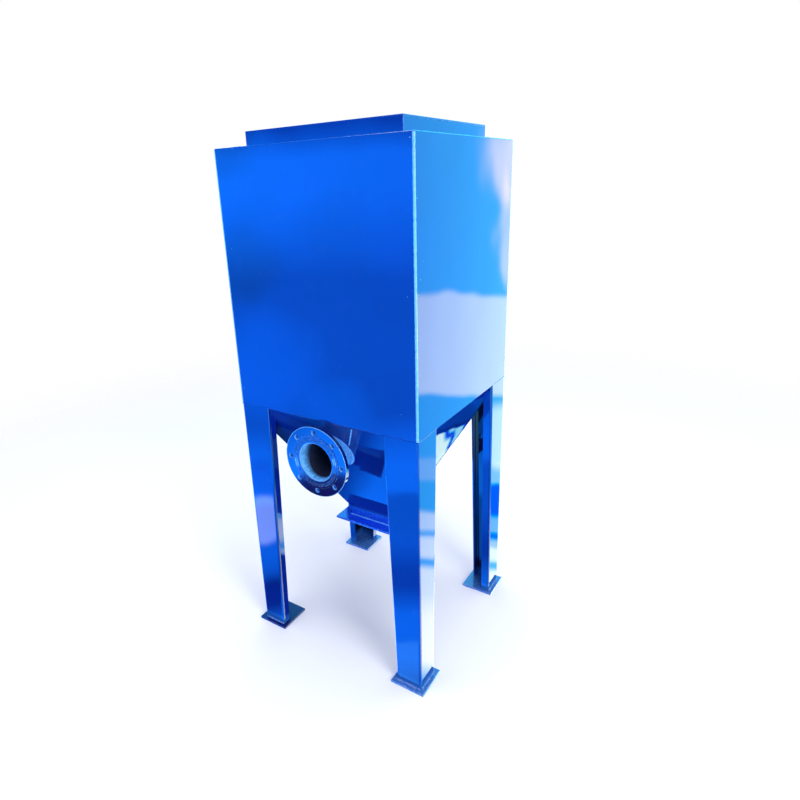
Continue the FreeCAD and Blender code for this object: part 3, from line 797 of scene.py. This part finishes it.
class SEPARATOR_OT_marks(bpy.types.Operator):
    """Weld spatter and a paint run"""
    bl_idname = "separator.marks"
    bl_label = "Spatter and runs"

    def execute(self, context):
        chance = random.Random(11)
        # Spatter lands on the panels within a hand's breadth of the corner beads.
        drops = 9  # at each corner, on its two panels in turn
        bm = bmesh.new()
        for sx, sy in SIGNS:
            for index in range(drops):
                away = 12 * MM + 70 * MM * chance.random() ** 2
                z = LOW.z + (HIGH.z - LOW.z) * chance.random()
                if index % 2:
                    point, out = (sx * (HIGH.x - away), sy * HIGH.y, z), Vector((0, sy, 0))
                else:
                    point, out = (sx * HIGH.x, sy * (HIGH.y - away), z), Vector((sx, 0, 0))
                self.blob(bm, point, out, chance.uniform(0.8, 1.7) * MM)
        add_piece("weld_spatter", bm, BEAD_AND_HIGHLIGHT)
        # Thick paint has run down the front of the hopper beside the duct.
        below = 12 * MM  # from the chamber's lower edge to where the run starts
        start = Vector((112 * MM, -INSIDE.y + SLOPE * below, LOW.z - below))
        down = Vector((-0.55, SLOPE, -1)).normalized()
        bm = bmesh.new()
        straight_bead(bm, start, start + down * 105 * MM, 2.2 * MM, 21 * MM, ripple=0.2,
                      uneven=0.5, seed=2.5)
        add_piece("paint_run", bm, BEAD_AND_HIGHLIGHT)
        return {"FINISHED"}

    @staticmethod
    def blob(bm, point, out, radius):
        """A flattened, lumpy bead of spatter stuck to a panel."""
        drop = bmesh.new()
        bmesh.ops.create_icosphere(drop, subdivisions=2, radius=radius)
        for vert in drop.verts:
            vert.co *= 1 + 0.35 * noise.noise(vert.co * per_size(1.5) + Vector(point) * 50)
            vert.co -= out * vert.co.dot(out) * 0.45
        bmesh.ops.translate(drop, vec=Vector(point) - out * 0.2 * radius, verts=drop.verts)
        take_in(bm, drop)


# ---------------------------------------------------------------- stage


def band_ramp(tree, rise, bands, unlit, lit):
    """A colour ramp up the heights that steps from each band to the next."""
    stops = []
    for start, share, blend in bands:
        if stops:
            stops.append((start - blend, stops[-1][1]))
        stops.append((start + blend, share))
    node = add_node(tree, "ShaderNodeValToRGB", {"Fac": rise})
    ramp = node.color_ramp
    while len(ramp.elements) < len(stops):
        ramp.elements.new(0.5)
    for element, (height, share) in zip(ramp.elements, stops):
        element.position = (height - RISE_LOW) / (RISE_HIGH - RISE_LOW)
        dim = Vector(unlit[0]).lerp(Vector(unlit[1]), element.position)
        element.color = (*dim.lerp(Vector(lit), share), 1)
    return node.outputs["Color"]


def add_patches(tree, way, seen):
    """Add the soft lights and shadows to what a ray sees; no shadow takes it below black."""
    for azimuth, elevation, reach, full, light in PATCHES:
        turn, rise = math.radians(azimuth), math.radians(elevation)
        middle = (math.sin(turn) * math.cos(rise), math.cos(turn) * math.cos(rise), math.sin(rise))
        facing = add_node(tree, "ShaderNodeVectorMath", {0: way, 1: middle},
                          operation="DOT_PRODUCT")
        spot = add_node(tree, "ShaderNodeMapRange", {
            "Value": facing.outputs["Value"], "From Min": math.cos(math.radians(reach)),
            "From Max": math.cos(math.radians(full * reach))}, interpolation_type="SMOOTHSTEP")
        added = add_node(tree, "ShaderNodeVectorMath",
                         {0: spot.outputs["Result"], 1: light, 2: seen}, operation="MULTIPLY_ADD")
        seen = add_node(tree, "ShaderNodeVectorMath", {0: added.outputs["Vector"]},
                        operation="MAXIMUM").outputs["Vector"]
    return seen


class SEPARATOR_OT_stage(bpy.types.Operator):
    """Floor, lights, surroundings and camera"""
    bl_idname = "separator.stage"
    bl_label = "Stage"

    def execute(self, context):
        stage = context.scene.separator_stage
        matt_floor_paint()
        bm = bmesh.new()
        bmesh.ops.create_circle(bm, cap_ends=True, radius=5, segments=96)
        mesh = bpy.data.meshes.new("floor")
        bm.to_mesh(mesh)
        bm.free()
        mesh.materials.append(bpy.data.materials[FLOOR_PAINT])
        floor = bpy.data.objects.new("floor", mesh)
        context.scene.collection.objects.link(floor)
        # Reflections come from the made surroundings, which have a floor of their own.
        floor.visible_glossy = False
        self.softbox("key_light", place=(3.3, -1.6, 2.3), target=(0.2, 0, 1.0), width=1.4,
                     height=1.8, watts=stage.key_power)
        self.softbox("top_light", place=(0, 0, 4.5), target=(0, 0, 0), width=3, height=3,
                     watts=stage.top_power)
        self.surroundings(context)
        self.camera(context, stage)
        context.scene.view_settings.view_transform = "Standard"
        return {"FINISHED"}

    @staticmethod
    def softbox(name, place, target, width, height, watts):
        """A rectangular light that faces a target and isn't seen itself."""
        data = bpy.data.lights.new(name, "AREA")
        data.shape = "RECTANGLE"
        data.size = width
        data.size_y = height
        data.energy = watts
        light = bpy.data.objects.new(name, data)
        aim = Vector(target) - Vector(place)
        light.location = place
        light.rotation_euler = aim.to_track_quat("-Z", "Y").to_euler()
        light.visible_camera = False
        bpy.context.scene.collection.objects.link(light)

    @staticmethod
    def surroundings(context):
        """White to the eye, even light on the object, and bands and patches in its gloss."""
        world = bpy.data.worlds.new("pale_surroundings")
        world.use_nodes = True
        tree = world.node_tree
        tree.nodes.clear()
        way = add_node(tree, "ShaderNodeTexCoord").outputs["Generated"]
        # The edges of what is reflected wander by up to about a degree.
        wobble = add_node(tree, "ShaderNodeTexNoise", {"Vector": way}, Scale=5.0, Detail=4.0)
        wander = add_node(tree, "ShaderNodeVectorMath",
                          {0: wobble.outputs["Color"], 1: (0.5, 0.5, 0.5)}, operation="SUBTRACT")
        bent = add_node(tree, "ShaderNodeVectorMath",
                        {0: wander.outputs["Vector"], 1: (0.03, 0.03, 0.02), 2: way},
                        operation="MULTIPLY_ADD")
        bent = add_node(tree, "ShaderNodeVectorMath", {0: bent.outputs["Vector"]},
                        operation="NORMALIZE").outputs["Vector"]
        parts = add_node(tree, "ShaderNodeSeparateXYZ", {"Vector": bent})
        rise = add_node(tree, "ShaderNodeMapRange", {
            "Value": parts.outputs["Z"], "From Min": RISE_LOW,
            "From Max": RISE_HIGH}).outputs["Result"]
        before = band_ramp(tree, rise, BEFORE, DARK_GROUND, BLUE_HAZE)
        behind = band_ramp(tree, rise, BEHIND, OPEN_SKY, WHITE_FLOOR)
        # Behind lies 27 degrees right of +Y, and blends into before at the sides.
        side = add_node(tree, "ShaderNodeVectorMath", {0: way, 1: (0.45, 0.89, 0)},
                        operation="DOT_PRODUCT")
        share = add_node(tree, "ShaderNodeMapRange", {
            "Value": side.outputs["Value"], "From Min": -0.1, "From Max": 0.4},
            interpolation_type="SMOOTHSTEP")
        banded = add_node(tree, "ShaderNodeMix", {
            "Factor": share.outputs["Result"], "A": before, "B": behind}, data_type="RGBA")
        seen = add_patches(tree, bent, banded.outputs["Result"])
        mirror = add_node(tree, "ShaderNodeBackground", {"Color": seen}, Strength=6.0)
        even = add_node(tree, "ShaderNodeBackground", Color=(0.93, 0.96, 1, 1), Strength=0.85)
        white = add_node(tree, "ShaderNodeBackground", Color=(1, 1, 1, 1), Strength=1.0)
        path = add_node(tree, "ShaderNodeLightPath")
        lit = add_node(tree, "ShaderNodeMixShader", {
            0: path.outputs["Is Glossy Ray"], 1: even.outputs["Background"],
            2: mirror.outputs["Background"]})
        mix = add_node(tree, "ShaderNodeMixShader", {
            0: path.outputs["Is Camera Ray"], 1: lit.outputs["Shader"],
            2: white.outputs["Background"]})
        add_node(tree, "ShaderNodeOutputWorld", {"Surface": mix.outputs["Shader"]})
        context.scene.world = world

    @staticmethod
    def camera(context, stage):
        """A camera that stands at the eye, turned, tilted and rolled."""
        data = bpy.data.cameras.new("camera")
        data.sensor_width = 36
        data.lens = stage.lens
        data.shift_x, data.shift_y = stage.shift
        camera = bpy.data.objects.new("camera", data)
        ahead = Vector((-math.sin(stage.turn) * math.cos(stage.tilt),
                        math.cos(stage.turn) * math.cos(stage.tilt), -math.sin(stage.tilt)))
        right = Vector((math.cos(stage.turn), math.sin(stage.turn), 0))
        over = right.cross(ahead)
        lean_right = right * math.cos(stage.roll) + over * math.sin(stage.roll)
        lean_up = over * math.cos(stage.roll) - right * math.sin(stage.roll)
        turn = Matrix((lean_right, lean_up, -ahead)).transposed().to_4x4()
        camera.matrix_world = Matrix.Translation(stage.eye) @ turn
        context.scene.collection.objects.link(camera)
        context.scene.camera = camera


class SEPARATOR_PT_build(bpy.types.Panel):
    """Lists the steps that build the separator, and their settings"""
    bl_idname = "SEPARATOR_PT_build"
    bl_label = "Cyclone separator"
    bl_space_type = "VIEW_3D"
    bl_region_type = "UI"
    bl_category = "Separator"

    def draw(self, context):
        for step in STEPS:
            self.layout.operator(step.bl_idname)
        for group in SETTINGS:
            values = getattr(context.scene, group)
            for name in values.__annotations__:
                self.layout.prop(values, name)


STEPS = (
    SEPARATOR_OT_paint,
    SEPARATOR_OT_chamber_welds,
    SEPARATOR_OT_hopper_welds,
    SEPARATOR_OT_lining,
    SEPARATOR_OT_inlet_welds,
    SEPARATOR_OT_duct_bore,
    SEPARATOR_OT_flange_highlights,
    SEPARATOR_OT_outlet_welds,
    SEPARATOR_OT_leg_welds,
    SEPARATOR_OT_marks,
    SEPARATOR_OT_stage,
)
SETTINGS = {
    "separator_finish": FinishSettings,
    "separator_welds": WeldSettings,
    "separator_stage": StageSettings,
}
CLASSES = (*SETTINGS.values(), *STEPS, SEPARATOR_PT_build)


def register():
    for item in CLASSES:
        bpy.utils.register_class(item)
    for name, group in SETTINGS.items():
        setattr(bpy.types.Scene, name, bpy.props.PointerProperty(type=group))


def unregister():
    for name in SETTINGS:
        delattr(bpy.types.Scene, name)
    for item in reversed(CLASSES):
        bpy.utils.unregister_class(item)


def main():
    register()
    for step in STEPS:
        group, name = step.bl_idname.split(".")
        getattr(getattr(bpy.ops, group), name)()


if __name__ == "__main__":
    main()
